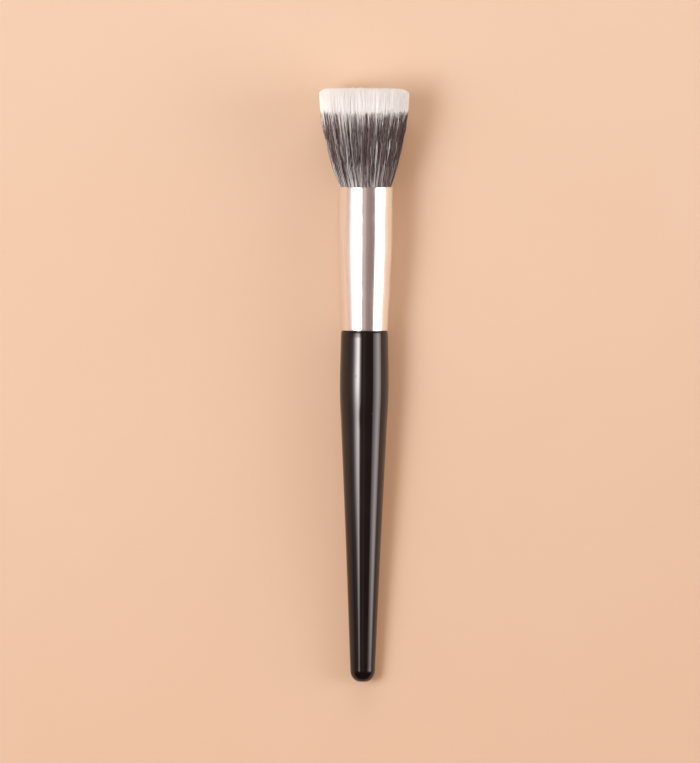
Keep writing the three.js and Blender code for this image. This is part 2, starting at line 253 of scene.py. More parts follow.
def add_piece(name, points, face_sets, material, corner_places=None, crease=math.radians(35.0)):
    """A new object at the origin from vertex rows and sets of faces, shaded smooth up to the crease angle or
    flat without one, with the corners' places on the bake map where they are given."""
    corners = np.concatenate([faces.ravel() for faces in face_sets])
    sizes = np.concatenate([np.full(len(faces), faces.shape[1]) for faces in face_sets])
    mesh = bpy.data.meshes.new(name)
    mesh.vertices.add(len(points))
    mesh.vertices.foreach_set("co", points.astype(np.float32).ravel())
    mesh.loops.add(len(corners))
    mesh.loops.foreach_set("vertex_index", corners.astype(np.int32))
    mesh.polygons.add(len(sizes))
    mesh.polygons.foreach_set("loop_start", (np.cumsum(sizes) - sizes).astype(np.int32))
    if corner_places is not None:
        layer = mesh.uv_layers.new(name=BAKE_MAP, do_init=False)
        layer.uv.foreach_set("vector", corner_places.astype(np.float32).ravel())
    mesh.update(calc_edges=True)
    if mesh.validate():
        raise ValueError(f"{name} has faces that Blender had to mend")
    if crease is None:
        mesh.shade_flat()
    else:
        mesh.shade_smooth()
        mesh.set_sharp_from_angle(angle=crease)
    mesh.materials.append(material)
    piece = bpy.data.objects.new(name, mesh)
    bpy.context.scene.collection.objects.link(piece)
    return piece


def stand_for(piece, node):
    """Sets a finished piece in the frame: it rides on the brush and stands for a CAD node, which it hides."""
    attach(piece, BODY)
    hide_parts(node)


def smooth_curve(stations, steps):
    """Smooth curve through all the stations: between two of them runs a cubic whose end slopes come from the
    stations on either side, spaced by the square roots of their distances."""
    ends = np.vstack((2 * stations[0] - stations[1], stations, 2 * stations[-1] - stations[-2]))
    before, start, stop, after = ends[:-3], ends[1:-2], ends[2:-1], ends[3:]
    gaps = np.sqrt(np.linalg.norm(np.diff(ends, axis=0), axis=1))[:, None]
    ahead, middle, behind = gaps[:-2], gaps[1:-1], gaps[2:]
    step = stop - start
    leave = ((start - before) / ahead - (stop - before) / (ahead + middle)) * middle + step
    arrive = ((after - stop) / behind - (after - start) / (middle + behind)) * middle + step
    t = np.linspace(0.0, 1.0, steps, endpoint=False)[None, :, None]
    start, stop, leave, arrive = (x[:, None, :] for x in (start, stop, leave, arrive))
    curve = (
        (2 * t**3 - 3 * t**2 + 1) * start
        + (t**3 - 2 * t**2 + t) * leave
        + (3 * t**2 - 2 * t**3) * stop
        + (t**3 - t**2) * arrive
    )
    return np.vstack((curve.reshape(-1, stations.shape[1]), stations[-1:]))


def quarter_round(start, stop, leaves_across, steps):
    """Quarter ellipse between two (radius, along) points, leaving square to the axis or along it."""
    turn = np.linspace(0.0, np.pi / 2, steps)
    swift, slow = np.sin(turn), 1.0 - np.cos(turn)
    out, up = (swift, slow) if leaves_across else (slow, swift)
    return np.stack((start[0] + (stop[0] - start[0]) * out, start[1] + (stop[1] - start[1]) * up), 1)


# Handle and ferrule. Rings on a flat end are shares of its radius.

HANDLE_SIDES = 192
FLAT_RINGS = np.linspace(0.2, 0.9, 4)
BUTT_STEPS = 28
SIDE_STEPS = 26
SHOULDER_STEPS = 16
GROOVES = 3
GROOVE_DEPTH = 0.5 * MM
GROOVE_HALF = 0.6 * MM
TENON_CHAMFER = 0.8 * MM
TENON_RING = 0.3


def handle_outline(size):
    """Outline of the handle: the butt's flat and quarter ellipse, a smooth curve over the taper, knee, belly
    and shoulder, the shoulder's quarter ellipse, and the tenon with its glue grooves and chamfer."""
    knee = size.length - size.knee_drop
    shoulder = size.length - size.shoulder_round
    flat = np.stack((FLAT_RINGS * size.butt_flat, np.zeros_like(FLAT_RINGS)), 1)
    butt = quarter_round((size.butt_flat, 0.0), (size.butt_radius, size.butt_round), True, BUTT_STEPS)
    stations = np.array(
        (
            (size.butt_radius, size.butt_round),
            ((size.butt_radius + size.knee_radius) / 2 - size.hollow, (size.butt_round + knee) / 2),
            (size.knee_radius, knee),
            (size.belly_radius, size.length - size.belly_drop),
            (size.shoulder_radius, shoulder),
        )
    )
    side = smooth_curve(stations, SIDE_STEPS)
    top = (size.shoulder_radius - size.shoulder_turn_in, size.length)
    rounding = quarter_round((size.shoulder_radius, shoulder), top, False, SHOULDER_STEPS)
    middle = size.length + size.tenon_length * (np.arange(GROOVES) + 1.0) / (GROOVES + 1.0)
    floor_radius = size.tenon_radius - GROOVE_DEPTH
    groove_radius = np.array((size.tenon_radius, floor_radius, floor_radius, size.tenon_radius))
    groove_along = middle[:, None] + GROOVE_HALF * np.array((-1.0, -1.0, 1.0, 1.0))
    grooves = np.stack((np.tile(groove_radius, GROOVES), groove_along.ravel()), 1)
    tenon_top = size.length + size.tenon_length
    tenon_end = np.array(
        (
            (size.tenon_radius, tenon_top - TENON_CHAMFER),
            (size.tenon_radius - TENON_CHAMFER, tenon_top),
            (TENON_RING * size.tenon_radius, tenon_top),
        )
    )
    seat = np.array(((size.tenon_radius, size.length),))
    return np.vstack((flat, butt, side[1:-1], rounding, seat, grooves, tenon_end))


FERRULE_SIDES = 192
FERRULE_STEPS = 64
RIM_STEPS = 7
NECK_SOFTNESS = 2.4 * MM


def ferrule_radius(size, along):
    """Outside radius of the ferrule: even below the mouth, then falling evenly to the base, with the bend
    between the two eased as the mean of a distance and its smoothed absolute value."""
    below = (MOUTH - size.straight) - along
    eased = (below + np.sqrt(below**2 + NECK_SOFTNESS**2)) / 2
    full = MOUTH - size.straight - FERRULE_BASE
    return size.mouth_radius - (size.mouth_radius - size.base_radius) * eased / full


def ferrule_outline(size):
    """Outline of the tube as a loop: up the outside, round the mouth's rim, down the bore, round the base's
    rim."""
    rim, wall = size.rim_round, size.wall
    low, high = FERRULE_BASE + rim, MOUTH - rim
    along = np.linspace(low, high, FERRULE_STEPS)
    outside = np.stack((ferrule_radius(size, along), along), 1)
    bore = (outside - np.array((wall, 0.0)))[::-1]
    base, mouth = outside[0, 0], outside[-1, 0]
    mouth_out = quarter_round((mouth, high), (mouth - rim, MOUTH), False, RIM_STEPS)
    mouth_in = quarter_round((mouth - wall + rim, MOUTH), (mouth - wall, high), True, RIM_STEPS)
    base_in = quarter_round((base - wall, low), (base - wall + rim, FERRULE_BASE), False, RIM_STEPS)
    base_out = quarter_round((base - rim, FERRULE_BASE), (base, low), True, RIM_STEPS)
    return np.vstack((outside[:-1], mouth_out, mouth_in, bore[1:-1], base_in, base_out[:-1]))


# Tuft. Heights are above the ferrule's mouth, and below zero inside it.

BORE_CLEARANCE = 0.12 * MM
FLARE_HEIGHT = 27.0 * MM
FLARE_POWER = 1.45
SECTORS = 6

# How the fibres are strewn over a disc of radius one: shakes are shares of the room for a fibre or a ring
RIM_LIMIT = 0.998
SPOT_SHAKE = 0.4
EVEN_RINGS = 48
RING_SHAKE = 0.28

# How the two kinds are mixed: a lock is loose by how far its mix falls below a limit
TRESS_SPREAD = 0.6
LOCK_SPREAD = 0.8
LOOSE_BELOW = -0.35
LOOSE_SLOPE = 2.0
SURFACING_RANGE = (-0.5, 1.4)
SURFACING_LIMITS = (0.0, 1.1)
DARK_IN_CORE = 0.28
DARK_AT_RIM = 0.50
DARK_BY_LOCK = 0.15
DARK_IF_LOOSE = -0.5
DARK_LIMITS = (0.03, 0.97)

# How the fibres stray: by a bend in their middle rings, and by a lean that grows with a power of the height.
# Leans are drawn from a bell with long tails, the longer the less its freedom, so a few fibres stray far.
BEND = 0.16 * MM
BENT_RINGS = slice(2, 5)
LEAN_POWER = 1.2
LEAN_FREEDOM = 4.0

# Shares of the tuft's radius: the least column on the table side, where the top starts to round off, and
# where blunt tips turn to sharp ones
LEAST_COLUMN = 0.2
EDGE_START = 0.85
BLUNT_STRETCH = (0.6, 0.97)

# Tones, as places across the bake map
TONE_MIDDLE = 0.46
LOCK_TONE = 0.25
OWN_TONE = 0.13
TONE_LIMITS = (0.02, 0.98)
TONE_WIDTH = 0.012

# The two kinds of fibre. A fibre has a ring at its root, at each of these heights and at its tip. Swell and
# spread give each ring's share of the fibre's thickness and of the tuft's radius.
DARK_KIND = SimpleNamespace(
    node="dark_fibres",
    slot="dark_fibre",
    is_dark=True,
    sides=3,
    heights=np.array((0.0, 5.5, 11.0, 17.0)) * MM,
    swell=np.array((0.90, 1.0, 1.0, 1.0, 0.92, 0.36)),
    spread=np.array((1.0, 0.994, 1.0, 1.0, 1.0, 1.0)),
    surfaces=0.0,
    blunt=1.0,
    lock_lean=0.08 * MM,
    own_lean=0.15 * MM,
    lock_rise=0.30 * MM,
    own_rise=0.45 * MM,
    rise_limits=(-2.5, 2.5),
    drop=0.0,
    crown_drop=0.0,
    edge_drop=0.0,
    # Painted shade: share by which the colour darkens towards the root
    painted_root_shade=0.10,
)
WHITE_KIND = SimpleNamespace(
    node="white_fibres",
    slot="white_fibre",
    is_dark=False,
    sides=4,
    heights=np.array((0.0, 5.5, 11.0, 19.0, 23.5)) * MM,
    swell=np.array((0.90, 1.0, 1.0, 1.0, 1.0, 1.08, 0.6)),
    spread=np.array((1.0, 0.992, 0.985, 0.977, 0.975, 1.0, 1.0)),
    surfaces=1.0,
    blunt=2.2,
    lock_lean=0.0,
    own_lean=0.05 * MM,
    lock_rise=0.16 * MM,
    own_rise=0.22 * MM,
    rise_limits=(-2.5, 1.5),
    drop=0.25 * MM,
    crown_drop=0.35 * MM,
    edge_drop=1.1 * MM,
    # Painted shade: share by which the colour darkens towards the root, where dark fibres shadow the white
    # ones
    painted_root_shade=0.32,
)


def tuft_radius(height, tuft, ferrule):
    """Outline of the tuft: from the root radius to the bore inside the ferrule, then flaring by one minus a
    falling power of the height, which starts steep at the mouth and ends upright below the tips."""
    bore = ferrule.mouth_radius - ferrule.wall - BORE_CLEARANCE
    inside = bore + (bore - tuft.root_radius) * height / (MOUTH - ROOT)
    rise = np.clip(height / FLARE_HEIGHT, 0.0, 1.0)
    outside = bore + (tuft.tip_radius - bore) * (1.0 - (1.0 - rise) ** FLARE_POWER)
    return np.where(height < 0.0, inside, outside)


def sunflower(number):
    """Points that fill a unit disc evenly: each lies a golden turn on from the last, at the square root of
    its share of the number."""
    index = np.arange(number) + 0.5
    turn = index * GOLDEN_TURN
    return np.sqrt(index / number)[:, None] * np.stack((np.cos(turn), np.sin(turn)), 1)


def evened(spot, rng):
    """The same points spread out evenly over a unit disc, each near where it was: ranked by radius into rings
    whose areas follow their numbers, and in each ring ranked by angle and set equally far apart, a little
    shaken."""
    number = len(spot)
    rank = np.empty(number)
    rank[np.argsort(np.linalg.norm(spot, axis=1))] = np.arange(number) + 0.5
    ring = np.floor(EVEN_RINGS * np.sqrt(rank / number)).astype(int)
    order = np.lexsort((np.arctan2(spot[:, 1], spot[:, 0]), ring))
    in_ring = np.bincount(ring, minlength=EVEN_RINGS)
    first = np.cumsum(in_ring) - in_ring
    place_in_ring = np.empty(number)
    place_in_ring[order] = np.arange(number) - first[ring[order]]
    shake = rng.uniform(-RING_SHAKE, RING_SHAKE, (number, 2))
    turn = FULL_TURN * (place_in_ring + 0.5 + shake[:, 0]) / in_ring[ring] - np.pi
    radius = np.minimum((ring + 0.5 + shake[:, 1]) / EVEN_RINGS, RIM_LIMIT)
    return radius[:, None] * np.stack((np.cos(turn), np.sin(turn)), 1)


def nearest(spot, centres):
    """Number of the centre nearest to each spot: the one with the least half square less its product with the
    spot."""
    return np.argmin((centres**2).sum(1) / 2.0 - spot @ centres.T, 1)


def fibre_bundle(tuft):
    """Where each fibre stands, which kind it is and how it strays. The fibres and the locks each lie on a
    sunflower spiral, and a fibre belongs to the nearest lock. The chance of a dark fibre rises to the rim and
    differs by lock, and a few loose locks have hardly any. The white fibres are then spread out evenly, and
    those of loose locks come to the surface here and there along their length."""
    rng = np.random.default_rng(tuft.seed)
    centres = sunflower(tuft.locks)
    tress_mix = rng.normal(0.0, TRESS_SPREAD, tuft.tresses)
    tress = nearest(centres, sunflower(tuft.tresses))
    lock_mix = rng.normal(0.0, LOCK_SPREAD, tuft.locks) + tress_mix[tress]
    lock_tone = rng.normal(0.0, 1.0, tuft.locks)
    lock_lean = rng.normal(0.0, 1.0, (tuft.locks, 2))
    lock_rise = rng.normal(0.0, 1.0, tuft.locks)
    lock_loose = np.clip(LOOSE_SLOPE * (LOOSE_BELOW - lock_mix), 0.0, 1.0)
    surfacing = rng.uniform(*SURFACING_RANGE, (tuft.locks, len(WHITE_KIND.spread)))
    lock_shows = lock_loose[:, None] * np.clip(surfacing, *SURFACING_LIMITS)
    room = math.sqrt(1.0 / tuft.strands)
    spot = sunflower(tuft.strands) + rng.normal(0.0, SPOT_SHAKE * room, (tuft.strands, 2))
    spot /= np.maximum(1.0, np.linalg.norm(spot, axis=1) / RIM_LIMIT)[:, None]
    rim = np.linalg.norm(spot, axis=1)
    home = nearest(spot, centres)
    by_lock = DARK_BY_LOCK * lock_mix[home] + DARK_IF_LOOSE * lock_loose[home]
    dark_chance = np.clip(DARK_IN_CORE + DARK_AT_RIM * rim**3 + by_lock, *DARK_LIMITS)
    dark = rng.uniform(0.0, 1.0, tuft.strands) < dark_chance
    spot[~dark] = evened(spot[~dark], rng)
    home = nearest(spot, centres)
    turn = np.arctan2(spot[:, 1], spot[:, 0]) / FULL_TURN + 0.5
    return SimpleNamespace(
        spot=spot,
        rim=np.linalg.norm(spot, axis=1),
        dark=dark,
        tone=lock_tone[home],
        own_tone=rng.normal(0.0, 1.0, tuft.strands),
        lean=lock_lean[home],
        own_lean=rng.standard_t(LEAN_FREEDOM, (tuft.strands, 2)),
        rise=lock_rise[home],
        own_rise=rng.normal(0.0, 1.0, tuft.strands),
        shows=lock_shows[home],
        bend=rng.normal(0.0, 1.0, (tuft.strands, 3, 2)),
        spin=rng.uniform(0.0, FULL_TURN, tuft.strands),
        sector=np.floor(SECTORS * turn) % SECTORS,
    )


def tip_heights(kind, top, bundle):
    """Heights of the tips: a flat top that may be crowned and rounded off at the rim, on which each lock ends
    a little higher or lower, and so does each fibre of it."""
    scatter = kind.lock_rise * bundle.rise + kind.own_rise * np.clip(bundle.own_rise, *kind.rise_limits)
    edge = np.clip((bundle.rim - EDGE_START) / (1.0 - EDGE_START), 0.0, 1.0)
    return top + scatter - kind.crown_drop * bundle.rim**2 - kind.edge_drop * edge**2 - kind.drop


def strand_rings(kind, tips, bundle, chosen, tuft, ferrule):
    """Middle points and radii of the chosen fibres' rings. A fibre keeps its spot's share of the tuft's
    radius at every height, and strays from it with the whole tuft, with its lock, by itself and by a slight
    bend, more towards its tip. On the table side the tuft is pressed flat: a column deeper than the table is
    shortened to it. Tips may be blunter in the middle of the tuft than at its rim."""
    tip = tips[chosen, None]
    root = np.full_like(tip, ROOT - MOUTH)
    height = np.hstack((root, np.broadcast_to(kind.heights, (len(tip), len(kind.heights))), tip))
    radius = tuft_radius(height, tuft, ferrule)
    climb = np.clip(height / tuft.height, 0.0, 1.0)
    lean = kind.lock_lean * bundle.lean[chosen] + kind.own_lean * bundle.own_lean[chosen]
    stray = climb[..., None] ** LEAN_POWER * lean[:, None, :]
    stray[:, BENT_RINGS] += BEND * bundle.bend[chosen]
    stray[..., 0] -= tuft.lean * np.sqrt(climb)
    shows = kind.surfaces * bundle.shows[chosen, : len(kind.spread)]
    spread = kind.spread + shows * (1.0 - kind.spread)
    middle = (radius * spread)[..., None] * bundle.spot[chosen, None, :] + stray
    across, down = middle[..., 0], middle[..., 1]
    along = MOUTH + height
    depth = (BUTT[2] + along * ALONG[2]) / ALONG[1] - tuft.thickness
    column = np.sqrt(np.maximum(radius**2 - across**2, (LEAST_COLUMN * radius) ** 2))
    pressed = np.minimum(down * np.minimum(1.0, depth / column), depth)
    down = np.where(down > 0.0, pressed, down)
    radii = np.tile(tuft.thickness * kind.swell, (len(chosen), 1))
    radii[:, -1] *= np.interp(bundle.rim[chosen], BLUNT_STRETCH, (kind.blunt, 1.0))
    return np.stack((across, down, along), -1), radii


def add_strands(name, rings, radii, sides, spin, tone, material):
    """Fibres of a few flat sides that are closed at both ends: each ring is an even polygon about its middle
    point, turned by the fibre's own spin. On the bake map a fibre is a narrow column at its tone, from its
    root up to its tip, and each end is a small polygon there."""
    fibres, levels = rings.shape[:2]
    corner = np.arange(sides)
    corner_turn = corner * FULL_TURN / sides
    turn = spin[:, None, None] + corner_turn
    across = rings[..., 0, None] + radii[..., None] * np.cos(turn)
    down = rings[..., 1, None] + radii[..., None] * np.sin(turn)
    points = place(across, down, rings[..., 2, None]).reshape(-1, 3)
    first = np.arange(fibres)[:, None] * levels * sides
    walls = (first[..., None] + grid_faces(levels, sides, False, True)[None]).reshape(-1, 4)
    last = first + (levels - 1) * sides
    caps = np.vstack((first + corner[::-1], last + corner))
    height = rings[..., 2] - rings[:, :1, 2]
    height = height / height[:, -1:]
    side = np.array((0.0, 1.0, 1.0, 0.0)) + corner[:, None]
    wall_u = tone[:, None, None, None] + TONE_WIDTH * (side / sides - 0.5)[None, None]
    low, high = height[:, :-1, None], height[:, 1:, None]
    wall_v = np.stack((low, low, high, high), -1)
    wall_places = np.stack(np.broadcast_arrays(wall_u, wall_v), -1).reshape(-1, 2)
    half = TONE_WIDTH / 2.0
    cap_u = np.tile(tone, 2)[:, None] + half * np.cos(corner_turn)
    cap_v = np.repeat((half, 1.0 - half), fibres)[:, None] + half * np.sin(corner_turn)
    cap_places = np.stack((cap_u, cap_v), -1).reshape(-1, 2)
    corner_places = np.vstack((wall_places, cap_places))
    return add_piece(name, points, [walls, caps], material, corner_places, None)


def add_fibres(scene, kind, top, material):
    """The fibres of one kind as six pieces, a sector of the tuft each, so that each mesh stays light."""
    tuft = scene.brush_tuft
    bundle = fibre_bundle(tuft)
    tips = tip_heights(kind, top, bundle)
    tone = np.clip(TONE_MIDDLE + LOCK_TONE * bundle.tone + OWN_TONE * bundle.own_tone, *TONE_LIMITS)
    for sector in range(SECTORS):
        chosen = np.flatnonzero((bundle.dark == kind.is_dark) & (bundle.sector == sector))
        rings, radii = strand_rings(kind, tips, bundle, chosen, tuft, scene.brush_ferrule)
        name = f"{kind.node}_{sector + 1}"
        piece = add_strands(name, rings, radii, kind.sides, bundle.spin[chosen], tone[chosen], material)
        stand_for(piece, kind.node)


# Thread. A ply draws in over this part of its length at each end, to no less than this share.

THREAD_PLIES = 3
THREAD_TURNS = 3.0
THREAD_DIAMETER = 0.5 * MM
PLY_RADIUS = 0.125 * MM
PLY_OFFSET = 0.125 * MM
PLY_PITCH = 1.2 * MM
PLY_SIDES = 6
PLY_STEPS = 1300
PLY_END = 0.002
PLY_END_SHARE = 0.0004


def thread_mesh():
    """Twisted thread: each ply winds about a helix round the roots, one third of a turn apart, and is a small
    tube whose rings stand on the axis and the outward direction. Each end draws in to a tiny cap."""
    path_radius = THREAD_REACH - THREAD_DIAMETER / 2
    low, high = THREAD_LOW + THREAD_DIAMETER / 2, THREAD_HIGH - THREAD_DIAMETER / 2
    part = np.linspace(0.0, 1.0, PLY_STEPS)[None, :, None]
    turn = FULL_TURN * THREAD_TURNS * part
    twist = turn * path_radius / PLY_PITCH
    ply = np.arange(THREAD_PLIES)[:, None, None] * FULL_TURN / THREAD_PLIES
    ring = np.arange(PLY_SIDES) * FULL_TURN / PLY_SIDES
    from_end = np.minimum(part, 1.0 - part)
    thickness = PLY_RADIUS * np.sqrt(np.clip(from_end / PLY_END, PLY_END_SHARE, 1.0))
    rise = PLY_OFFSET * np.cos(twist + ply) + thickness * np.cos(ring)
    out = path_radius + PLY_OFFSET * np.sin(twist + ply) + thickness * np.sin(ring)
    along = low + (high - low) * part + rise
    points = place(out * np.cos(turn), out * np.sin(turn), along).reshape(-1, 3)
    first = np.arange(THREAD_PLIES)[:, None, None] * PLY_STEPS * PLY_SIDES
    walls = (first + grid_faces(PLY_STEPS, PLY_SIDES, False, True)[None]).reshape(-1, 4)
    cap = np.arange(PLY_SIDES)[None, :]
    first = first[:, :, 0]
    caps = np.vstack((first + cap[:, ::-1], first + (PLY_STEPS - 1) * PLY_SIDES + cap))
    return points, [walls, caps]


# Shader nodes

VECTOR = "NodeSocketVector"
NUMBER = "NodeSocketFloat"
COLOUR = "NodeSocketColor"
WHITE = (1.0, 1.0, 1.0)
BLACK = (0.0, 0.0, 0.0)


def with_alpha(rgb):
    """A colour as a socket holds it."""
    return (*rgb, 1.0)


def add_node(tree, kind, values=None, **settings):
    """A node with its settings and the plain values of its inputs."""
    node = tree.nodes.new(kind)
    for name, value in settings.items():
        setattr(node, name, value)
    for name, value in (values or {}).items():
        node.inputs[name].default_value = value
    return node


def add_math(tree, operation, values=None, clamp=False):
    """A node that works out a number, some of whose inputs have plain values."""
    return add_node(tree, "ShaderNodeMath", values, operation=operation, use_clamp=clamp)


def add_range(tree, start, stop, low=0.0, high=1.0, eased=False):
    """A node that turns start to stop into low to high, evenly or eased at both ends, and stops there."""
    values = {"From Min": start, "From Max": stop, "To Min": low, "To Max": high}
    shape = "SMOOTHSTEP" if eased else "LINEAR"
    return add_node(tree, "ShaderNodeMapRange", values, interpolation_type=shape)


def add_mix(tree, first=None, second=None, multiply=False):
    """A node that mixes two colours, or multiplies them. A colour that isn't given here is linked."""
    blend = "MULTIPLY" if multiply else "MIX"
    node = add_node(tree, "ShaderNodeMix", {"Factor": 1.0}, data_type="RGBA", blend_type=blend)
    for label, rgb in (("A", first), ("B", second)):
        if rgb is not None:
            node.inputs[label].default_value = with_alpha(rgb)
    return node


def add_noise(tree, detail, roughness=0.5, **settings):
    """A noise node, whose scale is linked or stays at its own value."""
    return add_node(tree, "ShaderNodeTexNoise", {"Detail": detail, "Roughness": roughness}, **settings)


def wire(tree, *links):
    """Links nodes, each link given as a node, its output, the next node and its input."""
    for source, output, target, entry in links:
        tree.links.new(source.outputs[output], target.inputs[entry])


def new_group(name, inputs, outputs):
    """An empty node group with these inputs and outputs, each a name and its kind."""
    group = bpy.data.node_groups.new(name, "ShaderNodeTree")
    for in_out, sockets in (("INPUT", inputs), ("OUTPUT", outputs)):
        for label, kind in sockets.items():
            group.interface.new_socket(label, in_out=in_out, socket_type=kind)
    return group, group.nodes.new("NodeGroupInput"), group.nodes.new("NodeGroupOutput")


def draw_marks(name):
    """Long streaks: noise that is stretched along the brush's axis, so that it runs as fine lines."""
    inputs = {"Vector": VECTOR, "Fineness": NUMBER, "Stretch": NUMBER}
    group, into, out = new_group(name, inputs, {"Streak": NUMBER})
    shorten = add_math(group, "DIVIDE", {0: 1.0})
    scale = add_node(group, "ShaderNodeCombineXYZ", {"X": 1.0, "Z": 1.0})
    stretched = add_node(group, "ShaderNodeVectorMath", operation="MULTIPLY")
    noise = add_noise(group, 3.0, 0.6)
    wire(
        group,
        (into, "Stretch", shorten, 1),
        (shorten, 0, scale, "Y"),
        (into, "Vector", stretched, 0),
        (scale, 0, stretched, 1),
        (stretched, 0, noise, "Vector"),
        (into, "Fineness", noise, "Scale"),
        (noise, "Fac", out, "Streak"),
    )
    return group


def handling_marks(name):
    """Handling: broad smudges from slow noise, and dust as the middles of a few random cells."""
    inputs = {"Vector": VECTOR, "Smudge scale": NUMBER, "Dust scale": NUMBER}
    group, into, out = new_group(name, inputs, {"Smudge": NUMBER, "Dust": NUMBER})
    slow = add_noise(group, 4.0, 0.62)
    smudge = add_range(group, 0.42, 0.72, eased=True)
    cells = add_node(group, "ShaderNodeTexVoronoi", {"Randomness": 1.0})
    speck = add_range(group, 0.16, 0.05)
    pick = add_node(group, "ShaderNodeSeparateColor")
    few = add_math(group, "GREATER_THAN", {1: 0.90})
    dust = add_math(group, "MULTIPLY")
    wire(
        group,
        (into, "Vector", slow, "Vector"),
        (into, "Smudge scale", slow, "Scale"),
        (slow, "Fac", smudge, "Value"),
        (smudge, 0, out, "Smudge"),
        (into, "Vector", cells, "Vector"),
        (into, "Dust scale", cells, "Scale"),
        (cells, "Distance", speck, "Value"),
        (cells, "Color", pick, "Color"),
        (pick, "Red", few, 0),
        (speck, 0, dust, 0),
        (few, 0, dust, 1),
        (dust, 0, out, "Dust"),
    )
    return group


def uneven_colour(name):
    """Two colours mixed by slow noise, as in a poured or sprayed material."""
    inputs = {"Vector": VECTOR, "Scale": NUMBER, "First": COLOUR, "Second": COLOUR}
    group, into, out = new_group(name, inputs, {"Color": COLOUR, "Height": NUMBER})
    noise = add_noise(group, 5.0, 0.55)
    spread = add_range(group, 0.3, 0.7)
    mix = add_mix(group)
    wire(
        group,
        (into, "Vector", noise, "Vector"),
        (into, "Scale", noise, "Scale"),
        (noise, "Fac", spread, "Value"),
        (spread, 0, mix, "Factor"),
        (into, "First", mix, "A"),
        (into, "Second", mix, "B"),
        (mix, "Result", out, "Color"),
        (noise, "Fac", out, "Height"),
    )
    return group


def fibre_tone(name):
    """Colour of a fibre from its column on the bake map: its own tone with a slow change along it, darkened
    towards the root as painted shade, where neighbouring fibres shadow it."""
    inputs = {"Place": VECTOR, "Deep": COLOUR, "Pale": COLOUR, "Painted root shade": NUMBER}
    group, into, out = new_group(name, inputs, {"Color": COLOUR, "Roughness": NUMBER})
    parts = add_node(group, "ShaderNodeSeparateXYZ")
    stretch = add_node(group, "ShaderNodeVectorMath", {1: (24.0, 5.0, 1.0)}, operation="MULTIPLY")
    noise = add_noise(group, 2.0, noise_dimensions="2D")
    noise.inputs["Scale"].default_value = 1.0
    change = add_range(group, 0.3, 0.7, -0.14, 0.14)
    toned = add_math(group, "ADD", clamp=True)
    mix = add_mix(group)
    # Painted shade: the colour darkens towards black from the upper part of the column down towards the root
    near_root = add_range(group, 0.84, 0.60)
    amount = add_math(group, "MULTIPLY")
    shade = add_mix(group, second=BLACK)
    rough = add_range(group, 0.0, 1.0, 0.34, 0.5)
    wire(
        group,
        (into, "Place", parts, 0),
        (into, "Place", stretch, 0),
        (stretch, 0, noise, "Vector"),
        (noise, "Fac", change, "Value"),
        (parts, "X", toned, 0),
        (change, 0, toned, 1),
        (toned, 0, mix, "Factor"),
        (into, "Deep", mix, "A"),
        (into, "Pale", mix, "B"),
        (parts, "Y", near_root, "Value"),
        (near_root, 0, amount, 0),
        (into, "Painted root shade", amount, 1),
        (amount, 0, shade, "Factor"),
        (mix, "Result", shade, "A"),
        (shade, "Result", out, "Color"),
        (toned, 0, rough, "Value"),
        (rough, 0, out, "Roughness"),
    )
    return group


GROUP_MAKERS = {
    "Draw marks": draw_marks,
    "Handling marks": handling_marks,
    "Uneven colour": uneven_colour,
    "Fibre tone": fibre_tone,
}


def add_group(tree, name, values):
    """A shared group placed in a material with its own values. The group is made on its first use."""
    group = bpy.data.node_groups.get(name) or GROUP_MAKERS[name](name)
    return add_node(tree, "ShaderNodeGroup", values, node_tree=group)


# Finishes


def new_material(name, **values):
    """A material whose Principled shader has these plain values on its own sockets."""
    material = bpy.data.materials.new(name)
    material.use_nodes = True
    shader = material.node_tree.nodes["Principled BSDF"]
    for label, value in values.items():
        shader.inputs[label.replace("_", " ")].default_value = value
    return material, material.node_tree, shader


def brush_coordinates(tree):
    """Object coordinates turned and moved onto the brush's axis, so that Y runs along it from the butt."""
    place_node = add_node(tree, "ShaderNodeTexCoord")
    frame_place = {"Location": BUTT, "Rotation": (TILT, 0.0, 0.0)}
    turned = add_node(tree, "ShaderNodeMapping", vector_type="TEXTURE", values=frame_place)
    wire(tree, (place_node, "Object", turned, "Vector"))
    return turned


def lacquer_finish(finish):
    """Black gloss lacquer over turned wood: faint long ripples, smudges in the gloss and a little dust."""
    material, tree, shader = new_material("black_lacquer", IOR=1.48)
    where = brush_coordinates(tree)
    marks = add_group(tree, "Handling marks", {"Smudge scale": 90.0, "Dust scale": 420.0})
    ripple = add_group(tree, "Draw marks", {"Fineness": 420.0, "Stretch": 14.0})
    haze = add_math(tree, "MULTIPLY_ADD", {1: 0.25})
    tint = add_mix(tree, finish.lacquer, finish.lacquer_worn)
    gloss = add_range(tree, 0.0, 1.0, 0.035, 0.075)
    height = add_math(tree, "MULTIPLY_ADD", {1: 2.0})
    bump = add_node(tree, "ShaderNodeBump", {"Strength": 0.10, "Distance": 0.06 * MM})
    wire(
        tree,
        (where, "Vector", marks, "Vector"),
        (where, "Vector", ripple, "Vector"),
        (marks, "Smudge", haze, 0),
        (marks, "Dust", haze, 2),
        (haze, 0, tint, "Factor"),
        (tint, "Result", shader, "Base Color"),
        (marks, "Smudge", gloss, "Value"),
        (gloss, 0, shader, "Roughness"),
        (marks, "Dust", height, 0),
        (ripple, "Streak", height, 2),
        (height, 0, bump, "Height"),
        (bump, 0, shader, "Normal"),
    )
    return material


